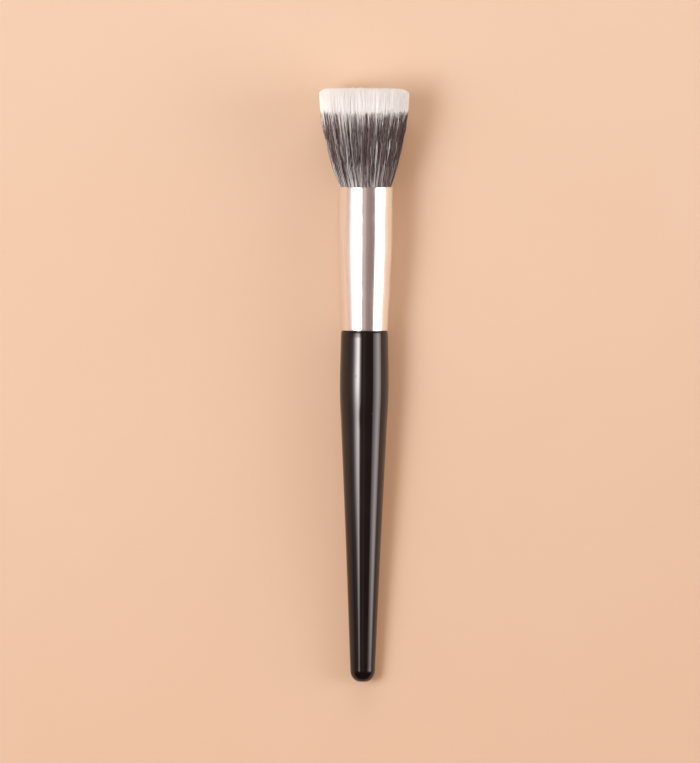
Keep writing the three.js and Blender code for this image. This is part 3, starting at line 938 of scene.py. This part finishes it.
def metal_finish(finish):
    """Bright drawn metal: fine lines along the tube, smudges in the polish and a slow unevenness of the
    wall."""
    material, tree, shader = new_material("bright_metal", Metallic=1.0)
    where = brush_coordinates(tree)
    lines = add_group(tree, "Draw marks", {"Fineness": 2600.0, "Stretch": 60.0})
    wall = add_group(tree, "Draw marks", {"Fineness": 260.0, "Stretch": 5.0})
    marks = add_group(tree, "Handling marks", {"Smudge scale": 140.0, "Dust scale": 600.0})
    tint = add_mix(tree, finish.metal, finish.metal_dull)
    dull = add_range(tree, 0.5, 0.8, 0.0, 0.6)
    polish = add_range(tree, 0.3, 0.7, 0.12, 0.18)
    worn = add_math(tree, "MULTIPLY_ADD", {1: 0.06})
    height = add_math(tree, "MULTIPLY_ADD", {1: 0.08})
    bump = add_node(tree, "ShaderNodeBump", {"Strength": 0.12, "Distance": 0.08 * MM})
    wire(
        tree,
        (where, "Vector", lines, "Vector"),
        (where, "Vector", wall, "Vector"),
        (where, "Vector", marks, "Vector"),
        (lines, "Streak", dull, "Value"),
        (dull, 0, tint, "Factor"),
        (tint, "Result", shader, "Base Color"),
        (lines, "Streak", polish, "Value"),
        (marks, "Smudge", worn, 0),
        (polish, 0, worn, 2),
        (worn, 0, shader, "Roughness"),
        (lines, "Streak", height, 0),
        (wall, "Streak", height, 2),
        (height, 0, bump, "Height"),
        (bump, 0, shader, "Normal"),
    )
    return material


def fibre_finish(kind, deep, pale):
    """Fine fibre: one tone for each fibre, read from its column on the bake map, with painted shade towards
    the root.
    """
    material, tree, shader = new_material(kind.slot, IOR=1.5)
    places = add_node(tree, "ShaderNodeUVMap", uv_map=BAKE_MAP)
    tones = {"Deep": with_alpha(deep), "Pale": with_alpha(pale), "Painted root shade": kind.painted_root_shade}
    tone = add_group(tree, "Fibre tone", tones)
    wire(
        tree,
        (places, "UV", tone, "Place"),
        (tone, "Color", shader, "Base Color"),
        (tone, "Roughness", shader, "Roughness"),
    )
    return material


def uneven_finish(name, first, second, scale, bump_strength, **values):
    """A poured or spun material: two close colours, with the same unevenness in its surface."""
    material, tree, shader = new_material(name, **values)
    where = brush_coordinates(tree)
    colours = {"Scale": scale, "First": with_alpha(first), "Second": with_alpha(second)}
    mottle = add_group(tree, "Uneven colour", colours)
    bump = add_node(tree, "ShaderNodeBump", {"Strength": bump_strength, "Distance": 0.1 * MM})
    wire(
        tree,
        (where, "Vector", mottle, "Vector"),
        (mottle, "Color", shader, "Base Color"),
        (mottle, "Height", bump, "Height"),
        (bump, 0, shader, "Normal"),
    )
    return material


# Stage

FLOOR_SIDES = 96
FLOOR_RINGS = 24
FLOOR_RADIUS = 3.0
FLOOR_MIDDLE = 0.02
# Where along Y the floor's colour turns from its far colour to its painted darker near colour
FLOOR_SLOPE = (0.11, -0.11)
FAR_FLOOR = (0.17, 0.42)


def floor_finish(stage):
    """Matt pale floor with a very faint mottling, painted darker towards the butt as painted shade. Where
    eyes and mirrors see it, its colour is tinted and it glows faintly as painted warm light, so that its
    shadows are painted warm and the light it throws on the brush isn't. Far from the brush they see one even
    colour there, whatever the lamps do."""
    # Painted warm light: the floor's faint glow, which only eyes and mirrors see
    glow = with_alpha(stage.floor_painted_glow)
    material, tree, shader = new_material(
        "pale_floor", Roughness=0.7, Specular_IOR_Level=0.15, Emission_Color=glow
    )
    where = add_node(tree, "ShaderNodeTexCoord")
    spots = {"Scale": 14.0, "First": with_alpha(WHITE), "Second": with_alpha(stage.floor_mottle)}
    mottle = add_group(tree, "Uneven colour", spots)
    parts = add_node(tree, "ShaderNodeSeparateXYZ")
    # Painted shade: the floor's colour darkens along a slope towards the butt
    slope = add_range(tree, *FLOOR_SLOPE)
    plain = add_mix(tree, stage.floor, stage.floor_near_painted_dim)
    spotted = add_mix(tree, multiply=True)
    # Painted warm light in the shadows: the seen floor is tinted down and glows, so the lit floor stays as it
    # is and its shadows turn warm
    tinted = add_mix(tree, second=stage.floor_seen, multiply=True)
    away = add_node(tree, "ShaderNodeVectorMath", operation="LENGTH")
    far = add_range(tree, *FAR_FLOOR, eased=True)
    ray = add_node(tree, "ShaderNodeLightPath")
    seen = add_math(tree, "ADD")
    seen_far = add_math(tree, "MULTIPLY")
    even = add_node(tree, "ShaderNodeEmission", {"Color": with_alpha(stage.horizon)})
    both = add_node(tree, "ShaderNodeMixShader")
    wire(
        tree,
        (where, "Object", mottle, "Vector"),
        (where, "Object", parts, 0),
        (parts, "Y", slope, "Value"),
        (slope, 0, plain, "Factor"),
        (plain, "Result", spotted, "A"),
        (mottle, "Color", spotted, "B"),
        (ray, "Is Camera Ray", seen, 0),
        (ray, "Is Glossy Ray", seen, 1),
        (seen, 0, tinted, "Factor"),
        (spotted, "Result", tinted, "A"),
        (tinted, "Result", shader, "Base Color"),
        (seen, 0, shader, "Emission Strength"),
        (where, "Object", away, 0),
        (away, "Value", far, "Value"),
        (far, 0, seen_far, 0),
        (seen, 0, seen_far, 1),
        (seen_far, 0, both, "Fac"),
        (shader, 0, both, 1),
        (even, 0, both, 2),
        (both, 0, tree.nodes["Material Output"], "Surface"),
    )
    return material


def add_floor(stage):
    """A round floor: rings about the origin, closer together in the middle."""
    turn = np.linspace(0.0, FULL_TURN, FLOOR_SIDES, endpoint=False)
    radius = FLOOR_RADIUS * np.linspace(FLOOR_MIDDLE, 1.0, FLOOR_RINGS)[:, None] ** 2
    rings = np.stack(np.broadcast_arrays(radius * np.cos(turn), radius * np.sin(turn), 0.0), -1)
    faces = grid_faces(FLOOR_RINGS, FLOOR_SIDES, False, True)[:, ::-1]
    middle = np.arange(FLOOR_SIDES)[None, :]
    floor = add_piece("floor", rings.reshape(-1, 3), [faces, middle], floor_finish(stage))


def value_ramp(tree, stops):
    """A ramp of plain brightness from (place, value) stops, the first of them at zero and the last at one."""
    node = add_node(tree, "ShaderNodeValToRGB")
    elements = node.color_ramp.elements
    for position, _ in stops[1:-1]:
        elements.new(position)
    for element, (_, value) in zip(elements, stops):
        element.color = (value, value, value, 1.0)
    return node


def add_object(context, name, data, location, rotation):
    """A new lamp or camera, placed and turned."""
    thing = bpy.data.objects.new(name, data)
    thing.location = location
    thing.rotation_euler = rotation
    context.scene.collection.objects.link(thing)
    return thing


# Lamps

# Power for each square metre at a brightness of one
LAMP_WATTS = 4.0

# Stops: an angle off the vertical in degrees, or a place along the brush, and a share of the brightness
LEFT_ANGLES = (
    (-84.0, 0.003),
    (-82.5, 0.005),
    (-78.0, 0.009),
    (-72.0, 0.016),
    (-63.0, 0.027),
    (-57.0, 0.05),
    (-52.0, 0.14),
    (-46.5, 0.29),
    (-38.5, 0.70),
    (-31.0, 1.0),
    (-26.0, 0.92),
    (-21.0, 0.36),
    (-17.0, 0.09),
    (-12.0, 0.025),
)
LEFT_ALONG = (
    (-0.36, 0.03),
    (-0.28, 0.18),
    (-0.26, 0.25),
    (-0.23, 0.40),
    (-0.20, 0.56),
    (-0.09, 0.93),
    (-0.05, 1.0),
    (-0.02, 0.85),
    (0.02, 0.53),
    (0.12, 0.42),
    (0.24, 0.28),
    (0.34, 0.06),
)
LEFT_NARROWING = 2.1
RIGHT_ANGLES = (
    (41.0, 0.06),
    (47.5, 0.35),
    (53.0, 0.49),
    (64.0, 0.90),
    (70.0, 1.0),
    (76.0, 0.80),
    (82.0, 0.45),
    (87.0, 0.25),
)
RIGHT_ALONG = (
    (-0.36, 0.06),
    (-0.28, 0.30),
    (-0.26, 0.45),
    (-0.24, 0.70),
    (-0.20, 0.90),
    (-0.08, 1.0),
    (-0.02, 1.0),
    (0.03, 0.95),
    (0.12, 0.95),
    (0.24, 0.65),
    (0.32, 0.15),
)
RIGHT_NARROWING = 1.0
NARROWING_STRETCH = (-0.27, -0.20)

FILL_PLACE = (0.0, 0.80, 0.42)
FILL_SIZE = (0.8, 0.35)


def add_lamp(context, name, brightness, tint, size, location, rotation):
    """A rectangle of light that the camera doesn't see."""
    light = bpy.data.lights.new(name, "AREA")
    light.shape = "RECTANGLE"
    light.size, light.size_y = size
    light.color = tint
    light.energy = brightness * LAMP_WATTS * size[0] * size[1]
    lamp = add_object(context, name, light, location, rotation)
    lamp.visible_camera = False
    return lamp


def add_side_lamp(context, name, brightness, angle_stops, along_stops, narrowing):
    """A soft lamp beside the brush that faces it from an angle. Its brightness is a ramp over the angle times
    a ramp over the distance along the brush. Towards the butt it narrows about its brightest angle, as many
    times as the narrowing says."""
    stage = context.scene.brush_stage
    distance = stage.lamp_distance
    degrees, across_values = np.array(angle_stops).T
    middle = (degrees[0] + degrees[-1]) / 2.0
    slopes = np.tan(np.radians(degrees - middle))
    across_places = 0.5 + 0.5 * slopes / slopes[-1]
    peak = across_places[np.argmax(across_values)]
    places, along_values = np.array(along_stops).T
    low, high = places[0], places[-1]
    long = high - low
    angle = math.radians(middle)
    size = (2.0 * distance * slopes[-1], long)
    location = (distance * math.sin(angle), (low + high) / 2.0, distance * math.cos(angle))
    lamp = add_lamp(context, name, brightness, stage.lamp_colour, size, location, (0.0, angle, 0.0))
    lamp.data.use_nodes = True
    tree = lamp.data.node_tree
    spot = add_node(tree, "ShaderNodeNewGeometry")
    parts = add_node(tree, "ShaderNodeSeparateXYZ")
    across = value_ramp(tree, list(zip(across_places, across_values)))
    along = value_ramp(tree, list(zip((places - low) / long, along_values)))
    level = add_math(tree, "MULTIPLY")
    narrow_places = (np.array(NARROWING_STRETCH) - low) / long
    narrow = add_range(tree, *narrow_places, narrowing, 1.0)
    from_peak = add_math(tree, "SUBTRACT", {1: peak})
    narrowed = add_math(tree, "MULTIPLY_ADD", {2: peak})
    wire(
        tree,
        (spot, "Parametric", parts, 0),
        (parts, "Y", narrow, "Value"),
        (parts, "X", from_peak, 0),
        (from_peak, 0, narrowed, 0),
        (narrow, 0, narrowed, 1),
        (narrowed, 0, across, "Fac"),
        (parts, "Y", along, "Fac"),
        (across, "Color", level, 0),
        (along, "Color", level, 1),
        (level, 0, tree.nodes["Emission"], "Strength"),
    )


def add_fill(context):
    """A plain lamp beyond the tips that faces the brush, and that no gloss mirrors."""
    stage = context.scene.brush_stage
    rotation = (-math.atan2(FILL_PLACE[1], FILL_PLACE[2]), 0.0, 0.0)
    lamp = add_lamp(
        context, "fill_lamp", stage.fill_lamp, stage.fill_colour, FILL_SIZE, FILL_PLACE, rotation
    )
    lamp.visible_glossy = False


# World

# Strips of the ceiling: an angle off the vertical in degrees, and a share of its brightness
CEILING_STRIPS = (
    (-90.0, 0.62),
    (-25.0, 0.62),
    (-13.0, 0.50),
    (-10.0, 0.50),
    (-6.0, 1.0),
    (0.0, 1.0),
    (7.0, 0.58),
    (18.0, 0.47),
    (38.0, 0.43),
    (90.0, 0.43),
)

# Where the ceiling and the ends of the room set in, as the parts of a direction of length one
CEILING_RISE = (0.02, 0.32)
NEAR_END = (-0.12, -0.45)
FAR_END = (0.15, 0.6)
FAR_END_SHARE = 0.75


def add_world(context):
    """A soft room: the horizon's colour turns to the ceiling's with height, the ceiling is lit in strips
    along the brush, and both ends of the room are dimmer. The camera itself sees the horizon's colour
    everywhere."""
    stage = context.scene.brush_stage
    world = bpy.data.worlds.new("soft_room")
    world.use_nodes = True
    tree = world.node_tree
    direction = add_node(tree, "ShaderNodeTexCoord")
    parts = add_node(tree, "ShaderNodeSeparateXYZ")
    side = add_range(tree, -1.0, 1.0)
    stops = [(0.5 + 0.5 * math.sin(math.radians(angle)), value) for angle, value in CEILING_STRIPS]
    strips = value_ramp(tree, stops)
    ceiling = add_mix(tree, second=stage.ceiling, multiply=True)
    height = add_range(tree, *CEILING_RISE, eased=True)
    sky = add_mix(tree, first=stage.horizon)
    near = add_range(tree, *NEAR_END, eased=True)
    far = add_range(tree, *FAR_END, 0.0, FAR_END_SHARE, eased=True)
    dimmed = add_mix(tree, second=stage.near_end)
    room = add_mix(tree, second=stage.far_end)
    ray = add_node(tree, "ShaderNodeLightPath")
    seen = add_mix(tree, second=stage.horizon)
    wire(
        tree,
        (direction, "Generated", parts, 0),
        (parts, "X", side, "Value"),
        (side, 0, strips, "Fac"),
        (strips, "Color", ceiling, "A"),
        (parts, "Y", near, "Value"),
        (parts, "Y", far, "Value"),
        (parts, "Z", height, "Value"),
        (height, 0, sky, "Factor"),
        (ceiling, "Result", sky, "B"),
        (near, 0, dimmed, "Factor"),
        (sky, "Result", dimmed, "A"),
        (far, 0, room, "Factor"),
        (dimmed, "Result", room, "A"),
        (ray, "Is Camera Ray", seen, "Factor"),
        (room, "Result", seen, "A"),
        (seen, "Result", tree.nodes["Background"], "Color"),
    )
    context.scene.world = world


# Camera. Its sensor is in millimetres, as its lens is.

CAMERA_OVER = (-0.0043, 0.0011)
CAMERA_ROLL = math.radians(0.31)
CAMERA_SENSOR = 36.0


def add_camera(context):
    """A camera straight above the brush, with the butt at the bottom of the picture."""
    stage = context.scene.brush_stage
    data = bpy.data.cameras.new("camera")
    data.lens = stage.lens
    data.sensor_width = CAMERA_SENSOR
    location = (*CAMERA_OVER, stage.camera_height)
    context.scene.camera = add_object(context, "camera", data, location, (0.0, 0.0, CAMERA_ROLL))


# Operators


class STIPPLING_OT_handle(bpy.types.Operator):
    """Make the lacquered handle"""

    bl_idname = "stippling.handle"
    bl_label = "Handle"

    def execute(self, context):
        points, faces = revolve(handle_outline(context.scene.brush_handle), HANDLE_SIDES, True)
        piece = add_piece("lacquered_handle", points, faces, lacquer_finish(context.scene.brush_finishes))
        stand_for(piece, "handle")
        return {"FINISHED"}


class STIPPLING_OT_ferrule(bpy.types.Operator):
    """Make the bright ferrule"""

    bl_idname = "stippling.ferrule"
    bl_label = "Ferrule"

    def execute(self, context):
        points, faces = revolve(ferrule_outline(context.scene.brush_ferrule), FERRULE_SIDES, False)
        piece = add_piece("drawn_ferrule", points, faces, metal_finish(context.scene.brush_finishes))
        stand_for(piece, "ferrule")
        return {"FINISHED"}


class STIPPLING_OT_dark_fibres(bpy.types.Operator):
    """Make the shorter dark fibres"""

    bl_idname = "stippling.dark_fibres"
    bl_label = "Dark fibres"

    def execute(self, context):
        finish = context.scene.brush_finishes
        material = fibre_finish(DARK_KIND, finish.dark_deep, finish.dark_pale)
        add_fibres(context.scene, DARK_KIND, context.scene.brush_tuft.dark_height, material)
        return {"FINISHED"}


class STIPPLING_OT_white_fibres(bpy.types.Operator):
    """Make the longer white fibres"""

    bl_idname = "stippling.white_fibres"
    bl_label = "White fibres"

    def execute(self, context):
        finish = context.scene.brush_finishes
        material = fibre_finish(WHITE_KIND, finish.white_deep, finish.white_pale)
        add_fibres(context.scene, WHITE_KIND, context.scene.brush_tuft.height, material)
        return {"FINISHED"}


class STIPPLING_OT_binding_thread(bpy.types.Operator):
    """Make the twisted thread that ties the roots"""

    bl_idname = "stippling.binding_thread"
    bl_label = "Binding thread"

    def execute(self, context):
        finish = context.scene.brush_finishes
        colours = (finish.thread, finish.thread_dark)
        material = uneven_finish("cotton_thread", *colours, 3000.0, 0.3, Roughness=0.85)
        points, faces = thread_mesh()
        piece = add_piece("twisted_thread", points, faces, material)
        stand_for(piece, "binding_thread")
        return {"FINISHED"}


class STIPPLING_OT_root_bonds(bpy.types.Operator):
    """Finish the resin behind the roots and the adhesive round the tenon"""

    bl_idname = "stippling.root_bonds"
    bl_label = "Resin and adhesive"

    def execute(self, context):
        finish = context.scene.brush_finishes
        resin = uneven_finish("root_resin", finish.resin, finish.resin_dark, 320.0, 0.15, Roughness=0.22)
        glue = uneven_finish("handle_glue", finish.glue, finish.glue_aged, 500.0, 0.35, Roughness=0.55)
        bonds = (("resin_plug", resin, "root_resin"), ("tenon_adhesive", glue, "handle_glue"))
        for name, material, slot in bonds:
            node = frame["nodes"][name]
            node.data.materials.clear()
            node.data.materials.append(material)
        return {"FINISHED"}


# Pale fibres pass light on from one to the next many times.
LIGHT_BOUNCES = 12


class STIPPLING_OT_stage(bpy.types.Operator):
    """Make the floor, the soft light and the camera"""

    bl_idname = "stippling.stage"
    bl_label = "Stage"

    def execute(self, context):
        stage = context.scene.brush_stage
        add_floor(stage)
        add_world(context)
        add_side_lamp(context, "left_lamp", stage.left_lamp, LEFT_ANGLES, LEFT_ALONG, LEFT_NARROWING)
        add_side_lamp(context, "right_lamp", stage.right_lamp, RIGHT_ANGLES, RIGHT_ALONG, RIGHT_NARROWING)
        add_fill(context)
        add_camera(context)
        context.scene.view_settings.view_transform = "Standard"
        context.scene.cycles.diffuse_bounces = LIGHT_BOUNCES
        return {"FINISHED"}


OPERATORS = (
    STIPPLING_OT_handle,
    STIPPLING_OT_ferrule,
    STIPPLING_OT_dark_fibres,
    STIPPLING_OT_white_fibres,
    STIPPLING_OT_binding_thread,
    STIPPLING_OT_root_bonds,
    STIPPLING_OT_stage,
)
SETTINGS = {
    "brush_handle": HandleSizes,
    "brush_ferrule": FerruleSizes,
    "brush_tuft": TuftSizes,
    "brush_finishes": BrushFinishes,
    "brush_stage": StageSettings,
}


class STIPPLING_PT_brush(bpy.types.Panel):
    """Steps and settings of the stippling brush"""

    bl_idname = "STIPPLING_PT_brush"
    bl_label = "Stippling brush"
    bl_space_type = "VIEW_3D"
    bl_region_type = "UI"
    bl_category = "Stippling brush"

    def draw(self, context):
        for operator in OPERATORS:
            self.layout.operator(operator.bl_idname)
        for attribute, group in SETTINGS.items():
            box = self.layout.box()
            box.label(text=group.__doc__)
            for name in group.__annotations__:
                box.prop(getattr(context.scene, attribute), name)


def register():
    """Adds the settings, the operators and the panel to Blender."""
    for group in SETTINGS.values():
        bpy.utils.register_class(group)
    for attribute, group in SETTINGS.items():
        setattr(bpy.types.Scene, attribute, bpy.props.PointerProperty(type=group))
    for operator in OPERATORS:
        bpy.utils.register_class(operator)
    bpy.utils.register_class(STIPPLING_PT_brush)


def unregister():
    """Takes them out again, the last first."""
    bpy.utils.unregister_class(STIPPLING_PT_brush)
    for operator in reversed(OPERATORS):
        bpy.utils.unregister_class(operator)
    for attribute in SETTINGS:
        delattr(bpy.types.Scene, attribute)
    for group in reversed(SETTINGS.values()):
        bpy.utils.unregister_class(group)


def main():
    """Makes the stage and each piece."""
    register()
    bpy.ops.stippling.stage()
    bpy.ops.stippling.handle()
    bpy.ops.stippling.ferrule()
    bpy.ops.stippling.dark_fibres()
    bpy.ops.stippling.white_fibres()
    bpy.ops.stippling.binding_thread()
    bpy.ops.stippling.root_bonds()


if __name__ == "__main__":
    main()
